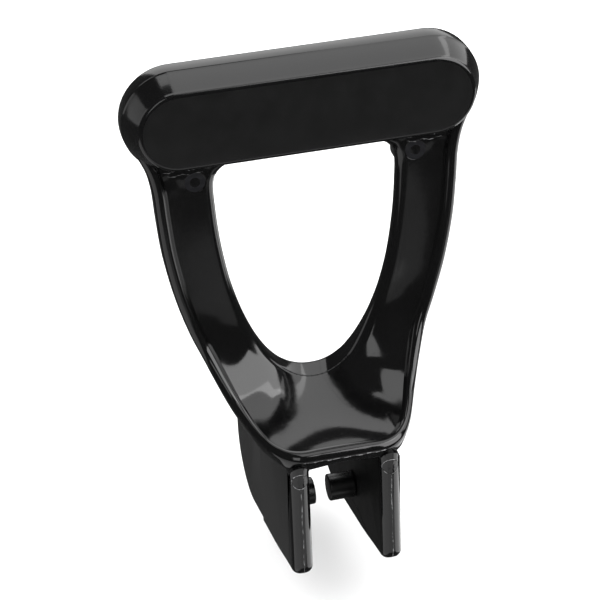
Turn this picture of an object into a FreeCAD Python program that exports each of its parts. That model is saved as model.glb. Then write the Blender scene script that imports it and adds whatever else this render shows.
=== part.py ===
import FreeCAD, Part
import math
import os
from FreeCAD import Placement, Rotation, Vector

# Car door pull handle: a T-bar grip on two arms that run down into a shallow scoop, and a fork
# of two cheeks below it with a pivot pin in each.  +X is the handle's right, +Y is its back and
# +Z is up.  The origin is on the pivot axis, midway between the cheeks.

doc = FreeCAD.newDocument("door_pull_handle")
sheet = doc.addObject("Spreadsheet::Sheet", "Dims")

DIMENSIONS = {
    # grip: a bar with half-round ends, in two shells that meet at its widest outline
    "grip_length": 125.4,
    "grip_height": 36.8,
    "grip_depth": 20.0,
    "grip_seam_depth": 10.0,
    "grip_front": -6.7,
    "grip_level": 155.4,
    "grip_taper": 20.0,
    "grip_edge": 1.6,
    "grip_back_edge": 5.0,
    "grip_wall": 2.5,
    # arms and scoop
    "arm_front": -1.0,
    "arm_floor": 1.2,
    "arm_back": 6.6,
    "arm_top_half": 54.0,
    "arm_top_level": 150.0,
    "rim_width": 4.5,
    "scoop_radius": 30.0,
    "scoop_middle": -15.0,
    "scoop_middle_level": 41.6,
    "scoop_back_level": 48.0,
    "bar_radius": 2.9,
    "bar_level": 38.9,
    "bar_ledge": 5.6,
    "bar_ledge_rise": 0.5,
    "underside_rise": 9.0,
    "opening_half": 32.5,
    "opening_bottom": 49.5,
    "opening_top": 139.0,
    "opening_corner": 5.5,
    # fork cheeks
    "post_front": -39.5,
    "cheek_offset": 16.3,
    "cheek_thickness": 7.6,
    "cheek_tip": -9.3,
    "cheek_fall": 9.0,
    "cheek_rear": 51.2,
    "cheek_rear_top": 10.0,
    "cheek_rear_radius": 20.0,
    "cheek_top_radius": 6.0,
    "step_start": 9.0,
    "step_depth": 0.8,
    # pivot pins, blind in the cheeks with a running fit
    "pin_radius": 5.0,
    "pin_neck_radius": 3.5,
    "pin_tip": 2.8,
    "pin_seat": 4.0,
    "pin_chamfer": 0.8,
    "pin_clearance": 0.05,
    "pin_end_gap": 0.2,
    # dowels that lock the cheeks to the tenons under the scoop
    "dowel_radius": 3.0,
    "dowel_level": 31.3,
    "dowel_length": 12.0,
    "dowel_proud": 0.1,
    "tenon_thickness": 4.0,
    "tenon_front": -34.0,
    "tenon_back": -22.0,
    "tenon_bottom": 26.0,
    # tongues on the arms, the spine through them, and the screws into the grip's lugs
    "screw_offset": 39.0,
    "screw_level": 132.0,
    "screw_radius": 1.9,
    "screw_head_radius": 3.6,
    "screw_head_height": 1.8,
    "screw_recess": 0.5,
    "screw_length": 9.0,
    "drive_radius": 1.8,
    "drive_depth": 1.2,
    "tongue_width": 12.0,
    "tongue_thickness": 4.4,
    "tongue_bottom": 136.0,
    "tongue_top": 163.0,
    "spine_length": 104.0,
    "spine_height": 8.0,
    "spine_thickness": 2.4,
    "spine_front": 2.2,
    "lug_width": 13.0,
    "lug_bottom": 125.0,
    "lug_gap": 0.1,
}

for row, (alias, value) in enumerate(DIMENSIONS.items(), start=1):
    sheet.set(f"A{row}", alias)
    sheet.set(f"B{row}", str(value))
    sheet.setAlias(f"B{row}", alias)
doc.recompute()


def dim(alias):
    """The value of a driving dimension, read back from the sheet."""
    return float(sheet.get(alias))


def line(a, b):
    return Part.LineSegment(Vector(*a, 0), Vector(*b, 0))


def arc(a, middle, b):
    return Part.Arc(Vector(*a, 0), Vector(*middle, 0), Vector(*b, 0))


def spline(points):
    """A smooth curve through points in the sketch plane."""
    curve = Part.BSplineCurve()
    curve.interpolate([Vector(*p, 0) for p in points])
    return curve


def polygon(points):
    return [line(a, b) for a, b in zip(points, points[1:] + points[:1])]


def bind(obj, **expressions):
    """Binds properties of obj to expressions of the sheet's cells."""
    for prop, expression in expressions.items():
        obj.setExpression(prop, expression)
    return obj


def new_body(name):
    body = doc.addObject("PartDesign::Body", name)
    body.Label = name
    return body


def sketch_on(body, plane, offset, curves):
    """A sketch on one of the body's origin planes, moved along the plane's normal by offset."""
    sketch = body.newObject("Sketcher::SketchObject", f"{body.Name}_sketch")
    origin_plane = [f for f in body.Origin.OriginFeatures if f.Role == plane][0]
    sketch.AttachmentSupport = [(origin_plane, "")]
    sketch.MapMode = "FlatFace"
    sketch.setExpression("AttachmentOffset.Base.z", offset)
    for curve in curves:
        sketch.addGeometry(curve, False)
    return sketch


def feature(body, kind, sketch, length):
    """A pad or a pocket from a sketch; pads run along the plane's normal and pockets against it."""
    made = body.newObject(f"PartDesign::{kind}", f"{body.Name}_{kind.lower()}")
    made.Profile = sketch
    made.setExpression("Length", length)
    doc.recompute()
    return made


def round_face(body, y, radius):
    """Rounds the outline of the body's flat face at y."""
    base = body.Tip
    edges = [f"Edge{i}" for i, e in enumerate(base.Shape.Edges, start=1)
             if abs(e.BoundBox.YMin - y) < TOUCH and abs(e.BoundBox.YMax - y) < TOUCH]
    made = body.newObject("PartDesign::Fillet", f"{body.Name}_fillet")
    made.Base = (base, edges)
    made.setExpression("Radius", radius)
    doc.recompute()


def box_part(name, x, y, z, length, width, height):
    """A Part::Box with its lowest corner at x, y, z; every argument is an expression."""
    box = doc.addObject("Part::Box", name)
    return bind(box, **{
        "Placement.Base.x": x, "Placement.Base.y": y, "Placement.Base.z": z,
        "Length": length, "Width": width, "Height": height,
    })


def rod_part(name, direction, x, y, z, radius, height):
    """A Part::Cylinder from x, y, z along direction; sizes and place are expressions."""
    rod = doc.addObject("Part::Cylinder", name)
    rod.Placement = Placement(Vector(), Rotation(Vector(0, 0, 1), direction))
    return bind(rod, **{
        "Placement.Base.x": x, "Placement.Base.y": y, "Placement.Base.z": z,
        "Radius": radius, "Height": height,
    })


def fuse(name, parts):
    made = doc.addObject("Part::MultiFuse", name)
    made.Shapes = parts
    made.Refine = True
    return made


def cut(name, base, tools):
    made = doc.addObject("Part::Cut", name)
    made.Base = base
    made.Tool = tools[0] if len(tools) == 1 else fuse(f"{name}_tools", tools)
    made.Refine = True
    return made


SIDES = {"left": -1, "right": 1}
TOUCH = 0.01  # how near an edge has to lie to a plane to count as lying in it
BEYOND = 20.0  # how far cutting shapes reach past what they cut
GRIP_RADIUS = dim("grip_height") / 2
POST_RADIUS = dim("cheek_thickness") / 2

# How far the yoke's outer edge has come in from the arms' full half-width, by level.
RIM_STATIONS = [(1.8, 110.0), (7.1, 83.0), (17.5, 55.0), (26.6, 40.3)]
RIM_END = 33.0
# The same for the finger opening's edge.
OPENING_STATIONS = [(0.7, 116.0), (4.7, 91.0), (12.5, 66.0), (22.0, 53.0)]


# ---------------------------------------------------------------- yoke: arms, rims and scoop

def rim_outline(inset, top):
    """The yoke's outer edge seen from the front, moved inwards by inset."""
    half = dim("arm_top_half") - inset
    base = dim("bar_level") - dim("bar_radius")
    right = [(half, top)] + [(half - x, z) for x, z in RIM_STATIONS] + [(half - RIM_END, base)]
    left = [(-x, z) for x, z in reversed(right)]
    return [spline(right), line(right[-1], left[0]), spline(left), line(left[-1], right[0])]


def opening_outline():
    """The finger opening seen from the front: a U with rounded corners under the grip."""
    half, top, corner = dim("opening_half"), dim("opening_top"), dim("opening_corner")
    shoulder, diagonal = top - corner, corner * math.sqrt(0.5)
    right = [(half, shoulder)] + [(half - x, z) for x, z in OPENING_STATIONS]
    right.append((0.0, dim("opening_bottom")))
    through = right + [(-x, z) for x, z in reversed(right[:-1])]
    inner = half - corner
    return [
        spline(through),
        arc((-half, shoulder), (-inner - diagonal, shoulder + diagonal), (-inner, top)),
        line((-inner, top), (inner, top)),
        arc((inner, top), (inner + diagonal, shoulder + diagonal), (half, shoulder)),
    ]


def underside():
    """The scoop's lower surface from the bar back to the arms, as (y, z) points."""
    bar_back = dim("post_front") + dim("bar_radius")
    low = dim("bar_level") - dim("bar_radius")
    return [
        (bar_back, low),
        (bar_back + dim("bar_ledge"), low + dim("bar_ledge_rise")),
        (dim("arm_back"), low + dim("underside_rise")),
    ]


def yoke_side_waste():
    """What lies outside the yoke's side profile, for two pockets: in front, and behind."""
    front, back, top = dim("arm_front"), dim("arm_back"), dim("arm_top_level")
    radius, bar = dim("scoop_radius"), dim("bar_radius")
    nose, level = dim("post_front"), dim("bar_level")
    crest = level + bar
    corner = (front - radius + radius * math.cos(math.pi / 4),
              crest + radius - radius * math.sin(math.pi / 4))
    far, behind, high, low = nose - BEYOND, back + BEYOND, top + BEYOND, level - BEYOND
    front_waste = [
        line((front, high), (front, crest + radius)),
        arc((front, crest + radius), corner, (front - radius, crest)),
        line((front - radius, crest), (nose + bar, crest)),
        arc((nose + bar, crest), (nose, level), (nose + bar, level - bar)),
        line((nose + bar, level - bar), (nose + bar, low)),
        line((nose + bar, low), (far, low)),
        line((far, low), (far, high)),
        line((far, high), (front, high)),
    ]
    under = underside()
    back_waste = polygon(under + [(back, high), (behind, high), (behind, low), (nose + bar, low)])
    return front_waste, back_waste


block = new_body("yoke_block")
feature(block, "Pad", sketch_on(block, "XZ_Plane", "-20", rim_outline(0.0, dim("arm_top_level"))), "65")
for waste in yoke_side_waste():
    feature(block, "Pocket", sketch_on(block, "YZ_Plane", "100", waste), "200")

dish = new_body("dish_space")
feature(dish, "Pad", sketch_on(dish, "XZ_Plane", "-Dims.arm_floor",
                               rim_outline(dim("rim_width"), dim("arm_top_level"))), "60")
floor_front = dim("post_front") + 2 * dim("bar_radius")
floor_level = dim("bar_level") + dim("bar_radius") / 2
floor_back, back_level = dim("arm_floor"), dim("scoop_back_level")
far, high = dim("post_front") - BEYOND, dim("arm_top_level") + BEYOND
below_floor = [
    arc((floor_front, floor_level), (dim("scoop_middle"), dim("scoop_middle_level")),
        (floor_back, back_level)),
] + polygon([(floor_back, back_level), (floor_back, 0.0), (far, 0.0), (far, high),
             (floor_front, high), (floor_front, floor_level)])[:-1]
feature(dish, "Pocket", sketch_on(dish, "YZ_Plane", "100", below_floor), "200")

opening = new_body("finger_opening")
feature(opening, "Pad", sketch_on(opening, "XZ_Plane", "-30", opening_outline()), "60")


def grip_solid(name, back, depth, inset, taper="0"):
    """A pad of the grip's outline, inset all round, from y = back forward, narrowing by taper."""
    body = new_body(name)
    radius = GRIP_RADIUS - inset
    straight = dim("grip_length") / 2 - GRIP_RADIUS
    level = dim("grip_level")
    end = straight + radius
    outline = [
        line((-straight, level - radius), (straight, level - radius)),
        arc((straight, level - radius), (end, level), (straight, level + radius)),
        line((straight, level + radius), (-straight, level + radius)),
        arc((-straight, level + radius), (-end, level), (-straight, level - radius)),
    ]
    pad = feature(body, "Pad", sketch_on(body, "XZ_Plane", f"-({back})", outline), depth)
    pad.setExpression("TaperAngle", f"-({taper})")
    doc.recompute()
    return body


seam = "Dims.grip_front + Dims.grip_seam_depth"
grip_back = "Dims.grip_front + Dims.grip_depth"
rear_depth = "Dims.grip_depth - Dims.grip_seam_depth"
front_skin = grip_solid("front_skin", seam, "Dims.grip_seam_depth", 0.0, "Dims.grip_taper")
round_face(front_skin, dim("grip_front"), "Dims.grip_edge")
rear_skin = grip_solid("rear_skin", grip_back, rear_depth, 0.0)
round_face(rear_skin, dim("grip_front") + dim("grip_depth"), "Dims.grip_back_edge")
yoke_shell = cut("yoke_shell", block, [dish, opening, front_skin, rear_skin])

tongues, screw_holes, tenons, dowel_holes = [], [], [], []
for side, sign in SIDES.items():
    centre = f"{sign} * Dims.screw_offset"
    tongues.append(box_part(
        f"{side}_tongue", f"{centre} - Dims.tongue_width / 2", "Dims.arm_floor",
        "Dims.tongue_bottom", "Dims.tongue_width", "Dims.tongue_thickness",
        "Dims.tongue_top - Dims.tongue_bottom"))
    screw_holes.append(rod_part(
        f"{side}_screw_hole", Vector(0, 1, 0), centre, "Dims.arm_floor - 5", "Dims.screw_level",
        "Dims.screw_radius", "20"))
    screw_holes.append(rod_part(
        f"{side}_head_recess", Vector(0, 1, 0), centre, "Dims.arm_floor - 5", "Dims.screw_level",
        "Dims.screw_head_radius", "5 + Dims.screw_recess + Dims.screw_head_height"))
    cheek_centre = f"{sign} * Dims.cheek_offset"
    tenons.append(box_part(
        f"{side}_tenon", f"{cheek_centre} - Dims.tenon_thickness / 2", "Dims.tenon_front",
        "Dims.tenon_bottom", "Dims.tenon_thickness", "Dims.tenon_back - Dims.tenon_front",
        "Dims.bar_level - Dims.tenon_bottom"))
    dowel_holes.append(rod_part(
        f"{side}_dowel_hole", Vector(0, 1, 0), cheek_centre, "Dims.post_front - 2",
        "Dims.dowel_level", "Dims.dowel_radius", "Dims.dowel_length + 2 - Dims.dowel_proud"))
spine = box_part(
    "grip_spine", "-Dims.spine_length / 2", "Dims.spine_front",
    "Dims.grip_level - Dims.spine_height / 2",
    "Dims.spine_length", "Dims.spine_thickness", "Dims.spine_height")

yoke = cut("yoke", fuse("yoke_with_tongues", [yoke_shell] + tongues + tenons),
           screw_holes + dowel_holes + [spine])


# ---------------------------------------------------------------- fork cheeks

def cheek_profile():
    """A cheek's plate seen from the side, behind its round post, as curves in (y, z)."""
    post, tip = dim("post_front") + POST_RADIUS, dim("cheek_tip")
    rear, rear_top = dim("cheek_rear"), dim("cheek_rear_top")
    corner, crown = dim("cheek_rear_radius"), dim("cheek_top_radius")
    fall = math.radians(dim("cheek_fall"))
    under = underside()
    heel_y = rear - corner
    heel_z = tip - math.tan(fall) * (heel_y - post) + corner / math.cos(fall)
    leave = (heel_y - corner * math.sin(fall), heel_z - corner * math.cos(fall))
    turn = (math.pi / 2 - fall) / 2
    heel_middle = (heel_y + corner * math.sin(turn), heel_z - corner * math.cos(turn))
    crown_middle = (rear - crown * (1 - math.cos(math.pi / 4)),
                    rear_top + crown * math.sin(math.pi / 4))
    slope = dim("bar_ledge_rise") / dim("bar_ledge")
    post_top = (post, under[0][1] + slope * (post - under[0][0]))
    return [
        line(post_top, (post, tip)),
        line((post, tip), leave),
        arc(leave, heel_middle, (rear, heel_z)),
        line((rear, heel_z), (rear, rear_top)),
        arc((rear, rear_top), crown_middle, (rear - crown, rear_top + crown)),
        line((rear - crown, rear_top + crown), under[2]),
        line(under[2], under[1]),
        line(under[1], post_top),
    ]


def post_parts(side, sign):
    """The full-round post on the cheek's front edge: a cylinder with a ball for its toe."""
    centre = f"{sign} * Dims.cheek_offset"
    axis_y = "Dims.post_front + Dims.cheek_thickness / 2"
    toe = "Dims.cheek_tip + Dims.cheek_thickness / 2"
    post = rod_part(f"{side}_post", Vector(0, 0, 1), centre, axis_y, toe,
                    "Dims.cheek_thickness / 2", f"Dims.bar_level - Dims.bar_radius - ({toe})")
    ball = doc.addObject("Part::Sphere", f"{side}_toe")
    bind(ball, **{"Placement.Base.x": centre, "Placement.Base.y": axis_y,
                  "Placement.Base.z": toe, "Radius": "Dims.cheek_thickness / 2"})
    return [post, ball]


cheeks = {}
for side, sign in SIDES.items():
    body = new_body(f"{side}_plate")
    start = f"{sign} * Dims.cheek_offset - Dims.cheek_thickness / 2"
    feature(body, "Pad", sketch_on(body, "YZ_Plane", start, cheek_profile()), "Dims.cheek_thickness")
    outer = "Dims.cheek_offset + Dims.cheek_thickness / 2"
    step = box_part(
        f"{side}_step", f"{outer} - Dims.step_depth" if sign > 0 else f"-({outer})",
        "Dims.step_start", "-60", "Dims.step_depth", "80", "120")
    seat = rod_part(
        f"{side}_pin_seat", Vector(sign, 0, 0), "0", "0", "0",
        "Dims.pin_neck_radius + Dims.pin_clearance",
        "Dims.cheek_offset - Dims.cheek_thickness / 2 + Dims.pin_seat + Dims.pin_end_gap")
    mortise = box_part(
        f"{side}_mortise", f"{sign} * Dims.cheek_offset - Dims.tenon_thickness / 2",
        "Dims.tenon_front", "Dims.tenon_bottom", "Dims.tenon_thickness",
        "Dims.tenon_back - Dims.tenon_front", "20")
    hole = rod_part(
        f"{side}_dowel_seat", Vector(0, 1, 0), f"{sign} * Dims.cheek_offset",
        "Dims.post_front - 2", "Dims.dowel_level", "Dims.dowel_radius",
        "Dims.dowel_length + 2 - Dims.dowel_proud")
    whole = fuse(f"{side}_cheek_blank", [body] + post_parts(side, sign))
    cheeks[side] = cut(f"{side}_cheek", whole, [step, seat, mortise, hole])


# ---------------------------------------------------------------- pins, dowels and screws

pins, dowels = {}, {}
shoulder_x = "Dims.cheek_offset - Dims.cheek_thickness / 2 - Dims.pin_end_gap"
for side, sign in SIDES.items():
    thick = rod_part(f"{side}_pin_journal", Vector(sign, 0, 0), f"{sign} * Dims.pin_tip", "0", "0",
                     "Dims.pin_radius", f"{shoulder_x} - Dims.pin_tip")
    tip_x = sign * dim("pin_tip")
    doc.recompute()
    lead = doc.addObject("Part::Chamfer", f"{side}_pin_lead")
    lead.Base = thick
    rims = [i for i, e in enumerate(thick.Shape.Edges, start=1)
            if abs(e.BoundBox.XMin - tip_x) < 0.01 and abs(e.BoundBox.XMax - tip_x) < 0.01]
    lead.Edges = [(i, dim("pin_chamfer"), dim("pin_chamfer")) for i in rims]
    neck = rod_part(f"{side}_pin_neck", Vector(sign, 0, 0), f"{sign} * ({shoulder_x})", "0", "0",
                    "Dims.pin_neck_radius", "Dims.pin_seat + Dims.pin_end_gap")
    pins[side] = fuse(f"{side}_pivot_pin", [lead, neck])
    dowels[side] = rod_part(
        f"{side}_cheek_dowel", Vector(0, 1, 0), f"{sign} * Dims.cheek_offset",
        "Dims.post_front - Dims.dowel_proud", "Dims.dowel_level", "Dims.dowel_radius",
        "Dims.dowel_length")

screws = []
for side, sign in SIDES.items():
    centre = f"{sign} * Dims.screw_offset"
    head = rod_part(f"{side}_head", Vector(0, 1, 0), centre, "Dims.arm_floor + Dims.screw_recess",
                    "Dims.screw_level", "Dims.screw_head_radius", "Dims.screw_head_height")
    shank = rod_part(f"{side}_shank", Vector(0, 1, 0), centre, "Dims.arm_floor + Dims.screw_recess",
                     "Dims.screw_level", "Dims.screw_radius", "Dims.screw_length")
    drive = rod_part(f"{side}_drive", Vector(0, 1, 0), centre, "Dims.arm_floor",
                     "Dims.screw_level", "Dims.drive_radius", "Dims.screw_recess + Dims.drive_depth")
    screws.append(cut(f"{side}_screw", fuse(f"{side}_screw_body", [head, shank]), [drive]))
grip_screws = fuse("grip_screws", screws)


# ---------------------------------------------------------------- grip shells

front_space = grip_solid("front_space", seam, "Dims.grip_seam_depth - Dims.grip_wall",
                         dim("grip_wall"), "Dims.grip_taper")
grip_front = cut("grip_front_shell", front_skin, [front_space] + tongues)

rear_space = grip_solid("rear_space", f"{grip_back} - Dims.grip_wall",
                        f"{rear_depth} - Dims.grip_wall", dim("grip_wall"))
rear_cup = cut("rear_cup", rear_skin, [rear_space] + tongues)
lugs, pilot_holes = [], []
for side, sign in SIDES.items():
    centre = f"{sign} * Dims.screw_offset"
    lug_front = "Dims.arm_back + Dims.lug_gap"
    lugs.append(box_part(
        f"{side}_lug", f"{centre} - Dims.lug_width / 2", lug_front, "Dims.lug_bottom",
        "Dims.lug_width", f"{grip_back} - Dims.grip_wall / 2 - ({lug_front})",
        "Dims.grip_level - Dims.grip_height / 2 + Dims.grip_wall - Dims.lug_bottom"))
    pilot_holes.append(rod_part(
        f"{side}_pilot", Vector(0, 1, 0), centre, "0", "Dims.screw_level", "Dims.screw_radius",
        "Dims.arm_floor + Dims.screw_recess + Dims.screw_length"))
grip_rear = cut("grip_rear_shell", fuse("rear_with_lugs", [rear_cup] + lugs), pilot_holes)

SUBPARTS = [yoke, cheeks["left"], cheeks["right"], dowels["left"], dowels["right"],
            pins["left"], pins["right"], grip_front, grip_rear, grip_screws, spine]
doc.recompute()

for obj in doc.Objects:
    if "Invalid" in obj.State or "Error" in obj.State:
        raise SystemExit(f"{obj.Name} failed: {obj.State}")
os.makedirs("parts", exist_ok=True)
for part in SUBPARTS:
    if part.Shape.isNull() or not part.Shape.isValid():
        raise SystemExit(f"{part.Name} has no valid shape")
    part.Label = part.Name
    part.Shape.exportStep(f"parts/{part.Name}.step")
    print(part.Name, len(part.Shape.Solids), round(part.Shape.Volume, 1), part.Shape.BoundBox)
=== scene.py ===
import math

import bmesh
import bpy
from mathutils import Matrix, Vector, noise


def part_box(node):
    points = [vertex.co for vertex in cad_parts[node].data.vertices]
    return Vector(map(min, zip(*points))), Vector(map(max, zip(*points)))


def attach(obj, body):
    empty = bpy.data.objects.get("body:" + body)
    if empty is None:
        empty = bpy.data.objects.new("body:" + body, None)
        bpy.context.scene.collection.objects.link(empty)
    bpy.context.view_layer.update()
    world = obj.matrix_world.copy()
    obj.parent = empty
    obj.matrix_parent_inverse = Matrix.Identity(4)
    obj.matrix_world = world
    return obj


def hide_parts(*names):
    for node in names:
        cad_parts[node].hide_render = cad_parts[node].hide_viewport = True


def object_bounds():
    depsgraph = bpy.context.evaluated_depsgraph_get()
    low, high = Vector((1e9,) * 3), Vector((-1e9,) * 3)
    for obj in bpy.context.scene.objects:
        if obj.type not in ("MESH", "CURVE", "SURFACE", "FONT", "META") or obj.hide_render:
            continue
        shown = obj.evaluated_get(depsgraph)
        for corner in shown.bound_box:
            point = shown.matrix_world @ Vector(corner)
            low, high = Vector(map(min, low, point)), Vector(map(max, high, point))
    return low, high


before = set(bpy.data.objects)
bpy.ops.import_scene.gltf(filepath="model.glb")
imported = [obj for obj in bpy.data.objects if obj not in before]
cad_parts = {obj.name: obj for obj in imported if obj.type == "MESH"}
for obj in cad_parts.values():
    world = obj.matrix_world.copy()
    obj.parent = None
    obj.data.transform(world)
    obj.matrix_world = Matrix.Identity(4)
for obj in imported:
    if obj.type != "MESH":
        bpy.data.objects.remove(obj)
CAD_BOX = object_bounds()

MM = 0.001
HANDLE, PIVOT = "handle", "pivot"
SIDES = (("left", -1), ("right", 1))


# ---------------------------------------------------------------- sizes

grip_low, grip_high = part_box("grip_front_shell")
rear_low, rear_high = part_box("grip_rear_shell")
cheek_low, cheek_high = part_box("right_cheek")
pin_low, pin_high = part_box("right_pivot_pin")
dowel_low, dowel_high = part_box("right_cheek_dowel")

GRIP_LEVEL = (grip_low.z + grip_high.z) / 2
GRIP_RADIUS = (grip_high.z - grip_low.z) / 2
GRIP_STRAIGHT = grip_high.x - GRIP_RADIUS
GRIP_FRONT, SEAM_Y, GRIP_BACK = grip_low.y, grip_high.y, rear_high.y
POST_X = (cheek_low.x + cheek_high.x) / 2
POST_RADIUS = (cheek_high.x - cheek_low.x) / 2
POST_FRONT = cheek_low.y
DOWEL_LEVEL = (dowel_low.z + dowel_high.z) / 2
DOWEL_RADIUS = (dowel_high.x - dowel_low.x) / 2
ARM_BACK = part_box("yoke")[1].y

# Sizes that no node's box gives.
BAR_RADIUS, BAR_LEVEL = 2.9 * MM, 38.9 * MM
SCREW_X, SCREW_Z = 39.0 * MM, 132.0 * MM
CHEEK_TIP, TIP_RADIUS = -9.3 * MM, 4.4 * MM


# ---------------------------------------------------------------- mesh helpers

MERGE_DISTANCE = 1e-7
# The share of an edge that one rounded corner may take, so that two corners never meet.
CORNER_SHARE = 0.48


def lerp(a, b, t):
    return a + (b - a) * t


def smooth_step(t):
    t = min(max(t, 0.0), 1.0)
    return t * t * (3 - 2 * t)


def catmull(points, t):
    """The point at t, from 0 to 1, on a smooth curve through points, mirrored in x at its start."""
    last = len(points) - 1
    place = min(max(t, 0.0), 1.0) * last
    i = min(int(place), last - 1)
    u = place - i
    p1, p2 = points[i], points[i + 1]
    p0 = points[i - 1] if i > 0 else Vector((-p2.x, p2.y, p2.z))
    p3 = points[i + 2] if i + 2 <= last else p2 * 2 - p1
    return (p1 * 2 + (p2 - p0) * u + (p0 * 2 - p1 * 5 + p2 * 4 - p3) * u * u
            + (p1 * 3 - p0 - p2 * 3 + p3) * u ** 3) * 0.5


def quarter(steps):
    """The angles of a quarter turn, from 0 to a right angle."""
    return [math.pi / 2 * i / steps for i in range(steps + 1)]


def rounded_corner(before, corner, after, radius, steps=5):
    """Points round a corner between two straight edges, as a quadratic curve."""
    back, ahead = before - corner, after - corner
    a = corner + back.normalized() * min(radius, back.length * CORNER_SHARE)
    b = corner + ahead.normalized() * min(radius, ahead.length * CORNER_SHARE)
    points = []
    for i in range(steps + 1):
        t = i / steps
        points.append(a * (1 - t) ** 2 + corner * 2 * t * (1 - t) + b * t * t)
    return points


def add_loops(bm, loops):
    """Joins closed rings of points with quads and closes both ends."""
    rings = [[bm.verts.new(p) for p in loop] for loop in loops]
    for a, b in zip(rings, rings[1:]):
        count = len(a)
        for i in range(count):
            j = (i + 1) % count
            bm.faces.new((a[i], a[j], b[j], b[i]))
    bm.faces.new(list(reversed(rings[0])))
    bm.faces.new(rings[-1])


def finish_mesh(bm, name, materials, sharp=35.0):
    """Makes an object of a bmesh, smooth except where faces turn by more than sharp degrees."""
    bmesh.ops.remove_doubles(bm, verts=bm.verts, dist=MERGE_DISTANCE)
    bmesh.ops.recalc_face_normals(bm, faces=bm.faces)
    mesh = bpy.data.meshes.new(name)
    bm.to_mesh(mesh)
    bm.free()
    obj = bpy.data.objects.new(name, mesh)
    bpy.context.scene.collection.objects.link(obj)
    for material in materials:
        mesh.materials.append(material)
    shade(mesh, sharp)
    return obj


def shade(mesh, sharp):
    """Shades a mesh smooth, except where faces turn by more than sharp degrees."""
    mesh.shade_smooth()
    mesh.set_sharp_from_angle(angle=math.radians(sharp))


def subtract(obj, cutter):
    """Cuts cutter out of obj and removes it."""
    modifier = obj.modifiers.new("cut", "BOOLEAN")
    modifier.operation = "DIFFERENCE"
    modifier.solver = "MANIFOLD"
    modifier.object = cutter
    bpy.context.view_layer.update()
    evaluated = obj.evaluated_get(bpy.context.evaluated_depsgraph_get())
    mesh = bpy.data.meshes.new_from_object(evaluated)
    obj.modifiers.clear()
    old = obj.data
    obj.data = mesh
    bpy.data.meshes.remove(old)
    bpy.data.objects.remove(cutter)
    return obj


def cylinder_loops(centre, axis, radius, low, high, bevel, segments=64, bevel_steps=4):
    """Rings of a cylinder with rounded ends along axis, from low to high."""
    axis = axis.normalized()
    side = axis.orthogonal().normalized()
    other = axis.cross(side)
    rings = []
    stations = [(radius - bevel + bevel * math.sin(a), low + bevel - bevel * math.cos(a))
                for a in quarter(bevel_steps)]
    stations += [(radius - bevel + bevel * math.cos(a), high - bevel + bevel * math.sin(a))
                 for a in quarter(bevel_steps)]
    for r, h in stations:
        rings.append([centre + axis * h + (side * math.cos(2 * math.pi * k / segments)
                                           + other * math.sin(2 * math.pi * k / segments)) * r
                      for k in range(segments)])
    return rings


# ---------------------------------------------------------------- materials

BUMP_DISTANCE = 0.0002


def new_material(name):
    """A node material with one plain shader: the material, its node tree and the shader."""
    material = bpy.data.materials.new(name)
    material.use_nodes = True
    tree = material.node_tree
    tree.nodes.clear()
    out = tree.nodes.new("ShaderNodeOutputMaterial")
    shader = tree.nodes.new("ShaderNodeBsdfPrincipled")
    tree.links.new(shader.outputs["BSDF"], out.inputs["Surface"])
    return material, tree, shader


def object_place(tree):
    """The object's own coordinates, in metres."""
    return tree.nodes.new("ShaderNodeTexCoord").outputs["Object"]


def add_stretch(tree, place, scale, turn=(0.0, 0.0, 0.0)):
    """Coordinates scaled on each axis and turned, so that a pattern is drawn out one way."""
    node = tree.nodes.new("ShaderNodeMapping")
    node.inputs["Scale"].default_value = scale
    node.inputs["Rotation"].default_value = turn
    tree.links.new(place, node.inputs["Vector"])
    return node.outputs["Vector"]


def add_noise(tree, place, scale, detail=2.0, roughness=0.5):
    """A noise pattern over place, or over the mesh's own box where place is None."""
    node = tree.nodes.new("ShaderNodeTexNoise")
    node.inputs["Scale"].default_value = scale
    node.inputs["Detail"].default_value = detail
    node.inputs["Roughness"].default_value = roughness
    if place is not None:
        tree.links.new(place, node.inputs["Vector"])
    return node.outputs["Fac"]


def add_tone(tree, amount, dark, light, dark_at=0.0, light_at=1.0):
    """A colour that goes from dark to light as amount rises from dark_at to light_at."""
    node = tree.nodes.new("ShaderNodeValToRGB")
    elements = node.color_ramp.elements
    elements[0].position, elements[1].position = dark_at, light_at
    elements[0].color, elements[1].color = [*dark, 1], [*light, 1]
    tree.links.new(amount, node.inputs["Fac"])
    return node.outputs["Color"]


def add_range(tree, amount, to_low, to_high, from_low=0.0, from_high=1.0):
    """amount, moved from one range of values to another."""
    node = tree.nodes.new("ShaderNodeMapRange")
    node.inputs["From Min"].default_value = from_low
    node.inputs["From Max"].default_value = from_high
    node.inputs["To Min"].default_value = to_low
    node.inputs["To Max"].default_value = to_high
    tree.links.new(amount, node.inputs["Value"])
    return node.outputs["Result"]


def add_bump(tree, height, strength):
    node = tree.nodes.new("ShaderNodeBump")
    node.inputs["Strength"].default_value = strength
    node.inputs["Distance"].default_value = BUMP_DISTANCE
    tree.links.new(height, node.inputs["Height"])
    return node.outputs["Normal"]


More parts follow.
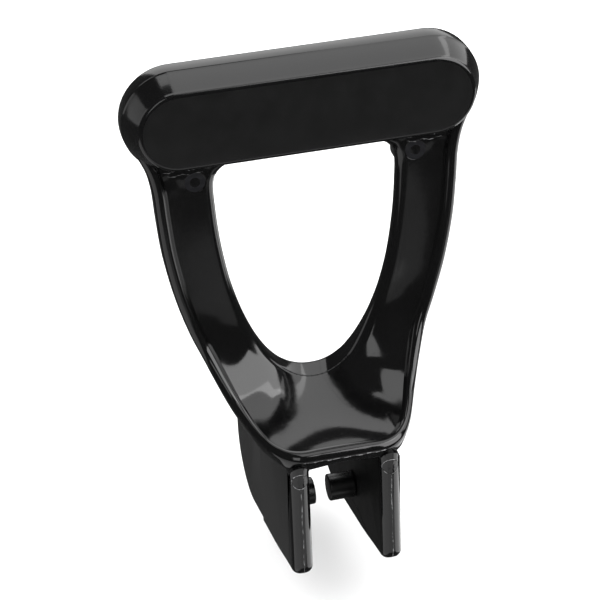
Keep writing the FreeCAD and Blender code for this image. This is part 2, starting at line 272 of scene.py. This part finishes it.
def moulded_black(name, colour, roughness, spread, peel, scratch):
    """Black moulded plastic: faint cloudy tone, uneven polish, orange peel and hairline scratches."""
    material, tree, shader = new_material(name)
    place = object_place(tree)
    cloud = add_noise(tree, place, scale=45.0, detail=4.0)
    tone = add_tone(tree, cloud, [c * 0.8 for c in colour], [c * 1.25 for c in colour], 0.3, 0.75)
    wear = add_noise(tree, place, scale=130.0, detail=6.0, roughness=0.6)
    polish = add_range(tree, wear, roughness, roughness + spread, 0.35, 0.7)
    hair = add_noise(tree, add_stretch(tree, place, (900.0, 900.0, 22.0), (0.15, 0.5, 0.2)), scale=1.0)
    lines = add_range(tree, hair, 0.0, scratch, 0.68, 0.74)
    total = tree.nodes.new("ShaderNodeMath")
    total.operation = "ADD"
    tree.links.new(polish, total.inputs[0])
    tree.links.new(lines, total.inputs[1])
    skin = add_noise(tree, place, scale=420.0)
    tree.links.new(tone, shader.inputs["Base Color"])
    tree.links.new(total.outputs["Value"], shader.inputs["Roughness"])
    tree.links.new(add_bump(tree, skin, peel), shader.inputs["Normal"])
    shader.inputs["IOR"].default_value = 1.5
    return material


def flash_white(name):
    """The rough, chalky ridge that a mould's parting line leaves: black plastic with pale specks."""
    material, tree, shader = new_material(name)
    specks = add_noise(tree, object_place(tree), scale=700.0, detail=3.0)
    tone = add_tone(tree, specks, (0.01, 0.01, 0.0103), (0.24, 0.24, 0.245), 0.44, 0.66)
    tree.links.new(tone, shader.inputs["Base Color"])
    tree.links.new(add_range(tree, specks, 0.35, 0.75), shader.inputs["Roughness"])
    tree.links.new(add_bump(tree, specks, 0.6), shader.inputs["Normal"])
    return material


def brushed_metal(name, colour, roughness):
    """Bare or blackened metal with fine drawn lines."""
    material, tree, shader = new_material(name)
    drawn = add_stretch(tree, object_place(tree), (30.0, 1500.0, 1500.0))
    grain = add_noise(tree, drawn, scale=1.0, detail=4.0)
    tone = add_tone(tree, grain, [c * 0.75 for c in colour], [c * 1.15 for c in colour])
    rough = add_range(tree, grain, roughness - 0.08, roughness + 0.1)
    tree.links.new(tone, shader.inputs["Base Color"])
    tree.links.new(rough, shader.inputs["Roughness"])
    shader.inputs["Metallic"].default_value = 1.0
    return material


# Plastics: colour, roughness and its spread, depth of orange peel, strength of scratches.
GLOSS = moulded_black("body_gloss_black", (0.0024, 0.0024, 0.0025), 0.075, 0.04, 0.04, 0.10)
GRIP = moulded_black("grip_gloss_black", (0.0024, 0.0024, 0.0025), 0.11, 0.05, 0.05, 0.12)
FACE = moulded_black("grip_satin_face", (0.0017, 0.0017, 0.0018), 0.28, 0.07, 0.10, 0.05)
SATIN = moulded_black("pin_satin_black", (0.003, 0.003, 0.0032), 0.24, 0.10, 0.10, 0.15)
DULL = moulded_black("inner_face_black", (0.0016, 0.0016, 0.0017), 0.42, 0.08, 0.10, 0.15)
ROUGH = moulded_black("torn_edge_black", (0.004, 0.004, 0.0042), 0.45, 0.2, 0.8, 0.2)
FLASH = flash_white("parting_line_flash")
SCREW = brushed_metal("black_oxide_screw", (0.05, 0.05, 0.055), 0.35)
STEEL = brushed_metal("spine_steel", (0.45, 0.45, 0.47), 0.3)


# ---------------------------------------------------------------- yoke: arms, rims and scoop

def mm(*xyz):
    """A point given in millimetres."""
    return Vector(xyz) * MM


# From the scoop's middle out and up to the grip: the centre line of the rim's bead, and the
# opening's edge across from it.
RIM = [mm(0, -36.6, 38.9), mm(8, -36.6, 38.9), mm(15.5, -36.4, 39.0), mm(21.2, -33.2, 39.8),
       mm(26.2, -25.5, 42.0), mm(31.0, -14.0, 47.8), mm(34.9, -6.2, 55.6), mm(38.7, -0.6, 64.6),
       mm(42.7, 1.0, 75.0), mm(46.7, 1.2, 89.0), mm(49.7, 1.2, 105.0), mm(51.1, 1.2, 119.0),
       mm(51.9, 1.2, 130.0), mm(53.6, 1.2, 138.0), mm(56.5, 1.2, 145.0)]
EDGE = [mm(0, 0.9, 48.4), mm(3, 0.9, 48.7), mm(6, 0.9, 49.8), mm(9.2, 1.0, 51.7),
        mm(12.6, 1.1, 54.8), mm(16.2, 1.2, 59.6), mm(19.6, 1.2, 65.8), mm(22.6, 1.2, 72.6),
        mm(25.6, 1.2, 81.0), mm(28.6, 1.2, 92.5), mm(30.9, 1.2, 107.0), mm(32.0, 1.2, 120.0),
        mm(32.1, 1.2, 129.8), mm(29.6, 1.2, 134.9), mm(22.5, 1.2, 138.8)]
SECTIONS, BEAD_STEPS, FACE_STEPS = 110, 10, 28
TANGENT_STEP = 0.004
RIM_RADIUS, ARM_WALL, POST_COVER = 2.2 * MM, 5.2 * MM, 1.9 * MM
BEAD_START, BEAD_SWEEP = 18, 162
BACK_CORNER, EDGE_CORNER, HEEL_DROP = 2.0 * MM, 1.6 * MM, 6.0 * MM
# How much deeper the hollow between rim and edge is on the rim's side.
HOLLOW_SKEW = 1.56
SCOOP_FALL, ARM_FALL = Vector((0, 0.93, 0.37)), Vector((0, 1, 0))
# Where the arms' faces start to be uneven, over what height it sets in, and its size in mm.
SINK_FROM, SINK_FADE, SINK_DEPTH, SINK_PITCH = 127 * MM, 9 * MM, 0.22, 260
RECESS_RADIUS, RECESS_START, RECESS_FLOOR, RECESS_BEVEL = 3.9 * MM, -5 * MM, 1.75 * MM, 0.15 * MM


def yoke_section(t):
    """The closed ring of points round the yoke at t, 0 at the scoop's middle and 1 at the grip."""
    rim, edge = catmull(RIM, t), catmull(EDGE, t)
    ahead = catmull(RIM, min(t + TANGENT_STEP, 1.0)) - catmull(RIM, max(t - TANGENT_STEP, 0.0))
    across = (edge - rim).normalized()
    normal = ahead.cross(across).normalized()

    # How far this section is up the arm, and how far it is over a post.
    up_arm = smooth_step((t - 0.30) / 0.30)
    over_post = smooth_step(t / 0.12) * (1 - smooth_step((t - 0.27) / 0.12))
    bead = lerp(BAR_RADIUS, RIM_RADIUS, smooth_step(t / 0.35))
    wall = lerp(BAR_RADIUS, ARM_WALL, up_arm) + POST_COVER * over_post
    roll_off = lerp(0.7 * MM, 3.6 * MM, smooth_step((t - 0.2) / 0.25))
    hollow = lerp(2.8 * MM, 0.9 * MM, smooth_step(t / 0.45))

    # The way the opening's wall falls back from its edge, and the section's corners.
    edge_fall = lerp(SCOOP_FALL, ARM_FALL, smooth_step(t / 0.5)).normalized()
    foot = rim + across * bead * 1.3 - normal * 0.4 * MM
    inner_back = edge + edge_fall * lerp(7.2 * MM, 5.4 * MM, up_arm)
    outer_back = rim - across * bead * 0.92 - normal * wall
    heel = Vector((inner_back.x * 1.05, ARM_BACK, inner_back.z - HEEL_DROP))
    back = lerp(heel, lerp(inner_back, outer_back, 0.5), smooth_step((t - 0.2) / 0.35))

    ring = []
    for i in range(BEAD_STEPS + 1):
        angle = math.radians(BEAD_START + BEAD_SWEEP * i / BEAD_STEPS)
        ring.append(rim + across * bead * math.cos(angle) + normal * bead * math.sin(angle))
    ring += rounded_corner(ring[-1], outer_back, back, lerp(BAR_RADIUS, EDGE_CORNER, up_arm))
    ring += rounded_corner(outer_back, back, inner_back, BACK_CORNER)
    ring += rounded_corner(back, inner_back, edge, EDGE_CORNER)
    for i in range(FACE_STEPS + 1):
        u = (i / FACE_STEPS) ** 1.5
        place = lerp(edge, foot, u)
        near_edge = max(0.0, 1 - (place - edge).length / roll_off)
        place += edge_fall * roll_off * (1 - math.sqrt(1 - near_edge ** 2))
        place -= normal * hollow * u * (1 - u) * (1 + HOLLOW_SKEW * u)
        ring.append(place + normal * ripple(place))
    return ring


def ripple(place):
    """The unevenness of the arms' faces just under the grip, where the moulding sank."""
    strength = smooth_step((place.z - SINK_FROM) / SINK_FADE) * SINK_DEPTH * MM
    return strength * noise.noise(place * SINK_PITCH) if strength else 0.0


def make_yoke():
    right = [yoke_section(i / SECTIONS) for i in range(SECTIONS + 1)]
    left = [[Vector((-p.x, p.y, p.z)) for p in ring] for ring in right[:0:-1]]
    bm = bmesh.new()
    add_loops(bm, left + right)
    yoke = finish_mesh(bm, "yoke_skin", [GLOSS], 40.0)
    for sign in (-1, 1):
        bm = bmesh.new()
        add_loops(bm, cylinder_loops(Vector((sign * SCREW_X, 0, SCREW_Z)), Vector((0, 1, 0)),
                                     RECESS_RADIUS, RECESS_START, RECESS_FLOOR, RECESS_BEVEL))
        yoke = subtract(yoke, finish_mesh(bm, "recess", [GLOSS]))
    shade(yoke.data, 32)
    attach(yoke, HANDLE)
    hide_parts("yoke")


make_yoke()


# ---------------------------------------------------------------- grip shells

FACE_INSET, LIP_INSET, LIP_DEPTH, SIDE_BULGE = 5.35 * MM, 3.95 * MM, 0.95 * MM, 0.22 * MM
SEAM_GROOVE, SEAM_SUNK, SEAM_EDGE, SEAM_GAP = 0.24 * MM, 0.4 * MM, 0.02 * MM, 0.02 * MM
REAR_EDGE, REAR_BULGE = 5 * MM, 0.1 * MM
# How far in from its rim a flat end is closed.
CAP_INSET = 3 * MM
LUG_HALF, LUG_CORNER, LUG_EDGE, LUG_STEPS = 6.5 * MM, 4.0 * MM, 1.2 * MM, 8


def stadium(inset, y, segments=40, straight_steps=24):
    """A ring of points round the grip's outline, moved inwards by inset, at depth y."""
    radius = GRIP_RADIUS - inset
    points = []
    for centre, start in ((GRIP_STRAIGHT, -90), (-GRIP_STRAIGHT, 90)):
        for i in range(segments + 1):
            angle = math.radians(start + 180 * i / segments)
            points.append(Vector((centre + radius * math.cos(angle), y,
                                  GRIP_LEVEL + radius * math.sin(angle))))
        for i in range(1, straight_steps):
            points.append(Vector((lerp(centre, -centre, i / straight_steps), y,
                                  GRIP_LEVEL + radius * math.sin(math.radians(start + 180)))))
    return points


def back_edge(radius, y_face, steps=10):
    """Insets and depths that round an outer edge over to the flat face at y_face."""
    return [(radius * (1 - math.cos(a)), y_face - radius * (1 - math.sin(a)))
            for a in quarter(steps)]


def front_sweep(lip_steps=5, side_steps=16):
    """Insets and depths from the front face, over its narrow lip and along the swelling side."""
    stations = [(FACE_INSET + CAP_INSET, GRIP_FRONT), (FACE_INSET + 0.15 * MM, GRIP_FRONT)]
    for a in quarter(lip_steps)[1:]:
        stations.append((lerp(FACE_INSET, LIP_INSET, math.sin(a) ** 1.2),
                         GRIP_FRONT + LIP_DEPTH * (1 - math.cos(a)) ** 1.2))
    for i in range(1, side_steps):
        t = i / side_steps
        bulge = SIDE_BULGE * math.sin(math.pi * t)
        stations.append((LIP_INSET * (1 - t) - bulge, lerp(GRIP_FRONT + LIP_DEPTH, SEAM_Y, t)))
    return stations


def seam_stations(toward):
    """Insets and depths of one shell's side of the seam's groove, from its rim inwards."""
    return [(SEAM_EDGE, SEAM_Y + toward * SEAM_GROOVE), (SEAM_SUNK, SEAM_Y + toward * SEAM_GAP),
            (CAP_INSET, SEAM_Y + toward * SEAM_GAP)]


def make_grip(rear_steps=8):
    bm = bmesh.new()
    add_loops(bm, [stadium(inset, y) for inset, y in front_sweep() + seam_stations(-1)])
    front = finish_mesh(bm, "grip_front_skin", [GRIP, FACE], 25.0)
    for polygon in front.data.polygons:
        if polygon.center.y < GRIP_FRONT + 0.01 * MM:
            polygon.material_index = 1
    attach(front, HANDLE)
    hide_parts("grip_front_shell")

    bm = bmesh.new()
    stations = seam_stations(1)[::-1]
    stations += [(-REAR_BULGE * math.sin(math.pi * i / rear_steps),
                  lerp(SEAM_Y + SEAM_GROOVE, GRIP_BACK - REAR_EDGE, i / rear_steps))
                 for i in range(1, rear_steps)]
    stations += back_edge(REAR_EDGE, GRIP_BACK) + [(REAR_EDGE + CAP_INSET, GRIP_BACK)]
    add_loops(bm, [stadium(inset, y) for inset, y in stations])
    for sign in (-1, 1):
        add_lug(bm, sign * SCREW_X)
    rear = finish_mesh(bm, "grip_rear_skin", [GRIP], 30.0)
    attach(rear, HANDLE)
    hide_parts("grip_rear_shell")


def add_lug(bm, x):
    """The rear shell's lug behind an arm: a rounded tab that the screw bites into."""
    low, top = rear_low.z, GRIP_LEVEL - GRIP_RADIUS + 3 * MM
    front, back = ARM_BACK + 0.1 * MM, GRIP_BACK - 1.0 * MM
    rings = []
    for inset, y in [(0.0, front)] + back_edge(LUG_EDGE, back, 5):
        ring = []
        radius = LUG_CORNER - inset
        for centre, start in ((x + LUG_HALF - LUG_CORNER, -90), (x - LUG_HALF + LUG_CORNER, 180)):
            for i in range(LUG_STEPS + 1):
                angle = math.radians(start + 90 * i / LUG_STEPS)
                ring.append(Vector((centre + radius * math.cos(angle), y,
                                    low + LUG_CORNER + radius * math.sin(angle))))
            if start == -90:
                ring.append(Vector((x + LUG_HALF - inset, y, top)))
                ring.append(Vector((x - LUG_HALF + inset, y, top)))
        rings.append(ring)
    add_loops(bm, rings)


make_grip()


# ---------------------------------------------------------------- fork cheeks

TOP_FRONT_LEVEL, TOP_BACK_LEVEL, REAR_LEVEL = 37.0 * MM, 45.0 * MM, 10.0 * MM
HEEL_RADIUS, CROWN_RADIUS, UNDERSIDE_FALL = 20.0 * MM, 8.0 * MM, 9.0
# How round the cheek's edges are: full on the post, less under its tip, least on the plate.
TIP_EDGE, PLATE_EDGE = 2.6 * MM, 0.9 * MM
# The step in the outer face, and how far the cutter behind it reaches.
STEP_Y, STEP_DEPTH, STEP_SOFT = 9.0 * MM, 0.8 * MM, 0.7 * MM
CUTTER_REAR, CUTTER_OUT, CUTTER_LEVELS = 90 * MM, 2 * MM, (-60 * MM, 80 * MM)


def cheek_outline():
    """The cheek's side outline: a point with y and z, and the edge's radius there."""
    top_front = Vector((POST_FRONT, TOP_FRONT_LEVEL))
    rear, corner, crown = cheek_high.y, HEEL_RADIUS, CROWN_RADIUS
    fall = math.radians(UNDERSIDE_FALL)
    run = rear - corner - (POST_FRONT + POST_RADIUS)
    heel = Vector((rear - corner, CHEEK_TIP - math.tan(fall) * run + corner / math.cos(fall)))
    points = []

    def add(y, z, edge):
        points.append((Vector((y, z)), edge))

    for i in range(15):
        add(POST_FRONT, lerp(top_front.y, CHEEK_TIP + TIP_RADIUS, i / 14), POST_RADIUS)
    for i in range(1, 13):
        angle = math.radians(180 + 81 * i / 12)
        add(POST_FRONT + TIP_RADIUS + TIP_RADIUS * math.cos(angle),
            CHEEK_TIP + TIP_RADIUS + TIP_RADIUS * math.sin(angle),
            lerp(POST_RADIUS, TIP_EDGE, i / 12))
    start = points[-1][0].copy()
    leave = heel + Vector((-corner * math.sin(fall), -corner * math.cos(fall)))
    for i in range(1, 25):
        add(lerp(start.x, leave.x, i / 24), lerp(start.y, leave.y, i / 24),
            lerp(TIP_EDGE, PLATE_EDGE, smooth_step(i / 10)))
    for i in range(1, 25):
        angle = math.radians(-99 + 99 * i / 24)
        add(heel.x + corner * math.cos(angle), heel.y + corner * math.sin(angle), PLATE_EDGE)
    for i in range(1, 5):
        add(rear, lerp(heel.y, REAR_LEVEL, i / 4), PLATE_EDGE)
    top_back = Vector((ARM_BACK, TOP_BACK_LEVEL))
    slope = math.atan2(top_back.y - REAR_LEVEL - crown, rear - crown - top_back.x)
    turn = math.pi / 2 - slope
    for i in range(1, 11):
        angle = turn * i / 10
        add(rear - crown * (1 - math.cos(angle)), REAR_LEVEL + crown * math.sin(angle), PLATE_EDGE)
    last = points[-1][0].copy()
    for i in range(1, 15):
        add(lerp(last.x, top_back.x, i / 14), lerp(last.y, top_back.y, i / 14), PLATE_EDGE)
    last = points[-1][0].copy()
    for i in range(1, 16):
        add(lerp(last.x, POST_FRONT + 4 * MM, i / 16), lerp(last.y, TOP_FRONT_LEVEL, i / 16),
            lerp(PLATE_EDGE, POST_RADIUS, smooth_step((i - 9) / 6)))
    return points


def inward_normals(points):
    """The unit direction into the outline at each of its points."""
    count = len(points)
    area = 0.0
    for i in range(count):
        here, following = points[i][0], points[(i + 1) % count][0]
        area += here.x * following.y - following.x * here.y
    turn = 1 if area > 0 else -1
    normals = []
    for i in range(count):
        along = points[(i + 1) % count][0] - points[i - 1][0]
        normals.append(Vector((-along.y, along.x)).normalized() * turn)
    return normals


def step_cutter(sign):
    """What the cheek's outer face loses behind the step, with a softened inner corner."""
    outer = sign * (POST_X + POST_RADIUS)
    profile = [(STEP_Y, CUTTER_OUT), (STEP_Y, -STEP_DEPTH + STEP_SOFT)]
    profile += [(STEP_Y + STEP_SOFT * (1 - math.cos(a)), -STEP_DEPTH + STEP_SOFT * (1 - math.sin(a)))
                for a in quarter(5)[1:]]
    profile += [(CUTTER_REAR, -STEP_DEPTH), (CUTTER_REAR, CUTTER_OUT)]
    bm = bmesh.new()
    add_loops(bm, [[Vector((outer + sign * x, y, z)) for y, x in profile] for z in CUTTER_LEVELS])
    return finish_mesh(bm, "step_cutter", [GLOSS])


def make_cheek(side, sign, steps=7):
    points = cheek_outline()
    normals = inward_normals(points)
    rings = []
    angles = [math.pi / 2 * (1 - i / steps) for i in range(steps + 1)]
    stations = [(-1, a) for a in reversed(angles)] + [(1, a) for a in angles]
    for half_sign, angle in stations:
        ring = []
        for (point, edge), inward in zip(points, normals):
            inset = edge * (1 - math.sin(angle))
            x = POST_RADIUS - edge * (1 - math.cos(angle))
            place = point + inward * inset
            ring.append(Vector((sign * POST_X + half_sign * x, place.x, place.y)))
        rings.append(ring)
    bm = bmesh.new()
    add_loops(bm, rings)
    cheek = finish_mesh(bm, f"{side}_cheek_skin", [GLOSS], 30.0)
    cheek = subtract(cheek, step_cutter(sign))
    shade(cheek.data, 28)
    cheek.data.materials.append(DULL)
    for polygon in cheek.data.polygons:
        if polygon.normal.x * sign < -0.9 and polygon.center.x * sign < POST_X:
            polygon.material_index = len(cheek.data.materials) - 1
    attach(cheek, HANDLE)
    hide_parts(f"{side}_cheek")


for side, sign in SIDES:
    make_cheek(side, sign)


# ---------------------------------------------------------------- pins, dowels and flash lines

JOURNAL_RADIUS, NECK_RADIUS, SHOULDER_GAP = 5.0 * MM, 3.5 * MM, 0.2 * MM
DOWEL_SEGMENTS = 72
# The dowel's end from its middle out: the share of its radius, and how proud it stands in mm.
DOWEL_END = [(0.3, 0.06), (0.6, 0.07), (0.88, 0.08), (0.945, 0.09), (0.965, 0.17), (0.98, 0.20),
             (1.0, 0.17), (1.02, 0.02), (1.02, -1.2)]
RING_INSIDE, RING_OUTSIDE = 0.95, 1.01


def ridge_y(x):
    """How far forward the round post stands at x from its middle."""
    return POST_FRONT + POST_RADIUS - math.sqrt(max(POST_RADIUS ** 2 - x * x, 0.0))


def make_dowel(side, sign):
    """A round plug whose end follows the post's round front, with a witness ring round it."""
    bm = bmesh.new()
    rings = []
    for share, proud in DOWEL_END:
        ring = []
        for k in range(DOWEL_SEGMENTS):
            angle = 2 * math.pi * k / DOWEL_SEGMENTS
            x = DOWEL_RADIUS * share * math.cos(angle)
            z = DOWEL_RADIUS * share * math.sin(angle)
            uneven = 1 + 0.35 * math.sin(5 * angle + sign) * math.sin(3 * angle)
            ring.append(Vector((sign * POST_X + x, ridge_y(x) - proud * uneven * MM, DOWEL_LEVEL + z)))
        rings.append(ring)
    add_loops(bm, rings)
    dowel = finish_mesh(bm, f"{side}_dowel_skin", [GLOSS, FLASH], 60.0)
    for polygon in dowel.data.polygons:
        spot = polygon.center - Vector((sign * POST_X, 0, DOWEL_LEVEL))
        reach = math.hypot(spot.x, spot.z) / DOWEL_RADIUS
        if RING_INSIDE < reach < RING_OUTSIDE:
            polygon.material_index = 1
    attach(dowel, HANDLE)
    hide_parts(f"{side}_cheek_dowel")


def make_pin(side, sign):
    """A pivot pin: a journal with a broken edge at its free end, on a neck in the cheek."""
    tip, shoulder, root = pin_low.x, POST_X - POST_RADIUS - SHOULDER_GAP, pin_high.x
    bm = bmesh.new()
    centre, axis = Vector((0, 0, 0)), Vector((sign, 0, 0))
    add_loops(bm, cylinder_loops(centre, axis, JOURNAL_RADIUS, tip, shoulder, 0.45 * MM, 96))
    add_loops(bm, cylinder_loops(centre, axis, NECK_RADIUS, shoulder - 1 * MM, root, 0.3 * MM))
    pin = finish_mesh(bm, f"{side}_pin_skin", [SATIN])
    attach(pin, PIVOT)
    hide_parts(f"{side}_pivot_pin")


def make_ridge(name, path, radius, seed, base, material):
    """A thin uneven ridge along path, laid onto the surface of base and half sunk in it."""
    surface = bpy.data.objects[base]
    bpy.context.view_layer.update()
    path = [surface.closest_point_on_mesh(point)[1] for point in path]
    bm = bmesh.new()
    rings = []
    count = len(path)
    for i, point in enumerate(path):
        ahead = (path[min(i + 1, count - 1)] - path[max(i - 1, 0)]).normalized()
        side = ahead.cross(Vector((0, 1, 0) if abs(ahead.y) < 0.8 else (1, 0, 0))).normalized()
        up = side.cross(ahead)
        wobble = 0.75 + 0.25 * math.sin(i * 1.7 + seed) + 0.2 * math.sin(i * 0.61 + 2 * seed)
        taper = min(1.0, i / 3, (count - 1 - i) / 3)
        size = radius * max(wobble * taper, 0.05)
        rings.append([point + side * size * math.cos(a) + up * size * math.sin(a)
                      for a in [math.pi / 4 * k for k in range(8)]])
    add_loops(bm, rings)
    ridge = finish_mesh(bm, name, [material], 80.0)
    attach(ridge, HANDLE)


def make_post_flash(side, sign):
    """The line down a post's front, from under its dowel to round its tip."""
    low, high = CHEEK_TIP + 5.0 * MM, DOWEL_LEVEL - DOWEL_RADIUS - 0.6 * MM
    path = [Vector((sign * POST_X + 0.12 * MM * math.sin(i * 0.23 + sign),
                    POST_FRONT + 0.02 * MM, lerp(high, low, i / 60))) for i in range(61)]
    for i in range(1, 12):
        angle = math.radians(75 * i / 12)
        path.append(Vector((sign * POST_X, POST_FRONT + TIP_RADIUS * (1 - math.cos(angle)) + 0.03 * MM,
                            CHEEK_TIP + TIP_RADIUS * (1 - math.sin(angle)) + 0.5 * MM)))
    make_ridge(f"{side}_post_flash", path, 0.15 * MM, sign, f"{side}_cheek_skin", FLASH)


def make_inner_line(side, sign):
    """The faint curved line low on a cheek's inner face."""
    inner = [mm(0, 8.0, -11.0), mm(0, 0.1, -8.9), mm(0, -7.0, -8.3), mm(0, -12.4, -9.0),
             mm(0, -17.0, -10.0), mm(0, -19.5, -11.0)]
    across = Vector((sign * (POST_X - POST_RADIUS), 0, 0))
    path = [across + catmull(inner, i / 50) for i in range(51)]
    make_ridge(f"{side}_inner_line", path, 0.11 * MM, 2 * sign, f"{side}_cheek_skin", ROUGH)


def make_arm_flash(side, sign):
    """Two ragged lines across an arm's top, just under the grip."""
    for row, level in enumerate((137.3, 135.5)):
        path = [mm(sign * lerp(33 + 3 * row, 50 - row, i / 44), 1.25,
                   level + 0.28 * math.sin(i * 0.31 + sign + row) + 0.1 * math.sin(i * 1.1))
                for i in range(45)]
        make_ridge(f"{side}_arm_flash_{row + 1}", path, lerp(0.24, 0.13, row) * MM,
                   3 * row + sign, "yoke_skin", FLASH)


def make_bar_flash():
    """The line along the front of the bar, from post to post."""
    reach = POST_X - 1.0 * MM
    path = [Vector((lerp(-reach, reach, i / 110), POST_FRONT + 0.02 * MM,
                    BAR_LEVEL - 0.4 * MM + 0.1 * MM * math.sin(i * 0.31))) for i in range(111)]
    make_ridge("bar_flash", path, 0.16 * MM, 3, "yoke_skin", FLASH)


def make_opening_flash(steps=64, reach=0.28):
    """The rough line along the scoop's back edge, where the mould's two halves met."""
    path = []
    for i in range(-steps, steps + 1):
        place = catmull(EDGE, abs(i) / steps * reach)
        path.append(Vector((math.copysign(place.x, i), place.y - 0.05 * MM, place.z + 0.05 * MM)))
    make_ridge("opening_flash", path, 0.3 * MM, 5, "yoke_skin", ROUGH)


for side, sign in SIDES:
    make_dowel(side, sign)
    make_pin(side, sign)
for side, sign in SIDES:
    make_post_flash(side, sign)
    make_inner_line(side, sign)
    make_arm_flash(side, sign)
make_bar_flash()
make_opening_flash()

for node, material in (("grip_screws", SCREW), ("grip_spine", STEEL)):
    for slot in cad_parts[node].material_slots:
        slot.material = material


# ---------------------------------------------------------------- camera, floor and light

AZIMUTH, ELEVATION, ROLL = -12.99, 29.9, 2.5
DISTANCE, LENS, SENSOR = 0.94865, 162.0, 36.0
TARGET = Vector((-0.0046, 0.0, 0.0807))
FLOOR_HALF, FLOOR_DROP = 3.0, 14 * MM
FLOOR_DARK, FLOOR_LIGHT = (0.90, 0.90, 0.90), (0.93, 0.93, 0.93)
WORLD_STRENGTH = 0.08

# The softboxes that the glossy plastic mirrors: name, place, aim, width, height and radiance.
SOFTBOXES = [
    ("overhead", (0.46, 0.06, 1.05), (0.46, 0.06, 0.0), 0.98, 1.12, 2.2),
    ("back_left", (-0.17, 0.42, 1.05), (-0.17, 0.42, 0.0), 0.27, 0.4, 2.2),
    ("right_front", (0.75, -0.62, 0.68), (0, 0, 0.3), 1.25, 1.25, 4.4),
    ("right_back", (0.92, 0.38, 0.66), (0, 0, 0.1), 0.8, 0.9, 2.0),
    ("back_wall", (0.35, 1.25, 0.85), (0.35, 0, 0.85), 1.3, 1.1, 1.6),
    ("left_card", (-1.01, 0.33, 0.38), (0, 0, 0.165), 0.30, 0.66, 0.9),
    ("left_front", (-0.40, -0.95, 0.52), (0, 0, 0.06), 0.30, 0.75, 2.2),
    ("low_left", (-0.535, -0.35, -0.35), (-0.535, -0.35, 1), 0.73, 0.8, 0.9),
    ("low_right", (0.77, 0.08, -0.35), (0.77, 0.08, 1), 0.87, 1.05, 2.0),
    ("low_front", (0.08, -0.54, -0.35), (0.08, -0.54, 1), 0.5, 0.24, 0.8),
    ("arm_front", (0.13, -0.745, -0.35), (0.13, -0.745, 1), 0.6, 0.17, 0.3),
]
# The wide light over the scene that isn't mirrored.
FILL = ("fill", (0, 0, 1.6), (0, 0, 0), 9.0, 9.0, 2.1)


def make_camera():
    az, el, roll = math.radians(AZIMUTH), math.radians(ELEVATION), math.radians(ROLL)
    back = Vector((math.sin(az) * math.cos(el), -math.cos(az) * math.cos(el), math.sin(el)))
    level = Vector((math.cos(az), math.sin(az), 0))
    upright = back.cross(level)
    right = level * math.cos(roll) - upright * math.sin(roll)
    up = level * math.sin(roll) + upright * math.cos(roll)
    data = bpy.data.cameras.new("photo_camera")
    data.lens, data.sensor_width = LENS, SENSOR
    camera = bpy.data.objects.new("photo_camera", data)
    bpy.context.scene.collection.objects.link(camera)
    turn = Matrix((right, up, back)).transposed().to_4x4()
    camera.matrix_world = Matrix.Translation(TARGET + back * DISTANCE) @ turn
    bpy.context.scene.camera = camera


def make_floor():
    bm = bmesh.new()
    bmesh.ops.create_grid(bm, x_segments=2, y_segments=2, size=FLOOR_HALF)
    bmesh.ops.translate(bm, verts=bm.verts, vec=(0, 0, CAD_BOX[0][2] - FLOOR_DROP))
    material, tree, shader = new_material("pale_floor")
    tone = add_tone(tree, add_noise(tree, None, scale=60.0), FLOOR_DARK, FLOOR_LIGHT)
    tree.links.new(tone, shader.inputs["Base Color"])
    shader.inputs["Roughness"].default_value = 0.9
    shader.inputs["Specular IOR Level"].default_value = 0.1
    floor = finish_mesh(bm, "floor", [material])
    floor.visible_glossy = False


def soft_light(name, place, aim, width, height, radiance, in_gloss=True):
    """A rectangular light facing aim, of an even radiance, seen in reflections or lighting surfaces."""
    data = bpy.data.lights.new(name, "AREA")
    data.shape, data.size, data.size_y = "RECTANGLE", width, height
    data.energy = math.pi * width * height * radiance
    light = bpy.data.objects.new(name, data)
    light.location = place
    light.rotation_euler = (Vector(aim) - Vector(place)).to_track_quat("-Z", "Y").to_euler()
    light.visible_camera = False
    light.visible_glossy = in_gloss
    light.visible_diffuse = not in_gloss
    bpy.context.scene.collection.objects.link(light)


def make_light():
    world = bpy.data.worlds.new("studio")
    world.use_nodes = True
    background = world.node_tree.nodes["Background"]
    background.inputs["Color"].default_value = (1, 1, 1, 1)
    background.inputs["Strength"].default_value = WORLD_STRENGTH
    bpy.context.scene.world = world
    for box in SOFTBOXES:
        soft_light(*box)
    soft_light(*FILL, in_gloss=False)


make_camera()
make_floor()
make_light()
bpy.context.scene.view_settings.view_transform = "Standard"
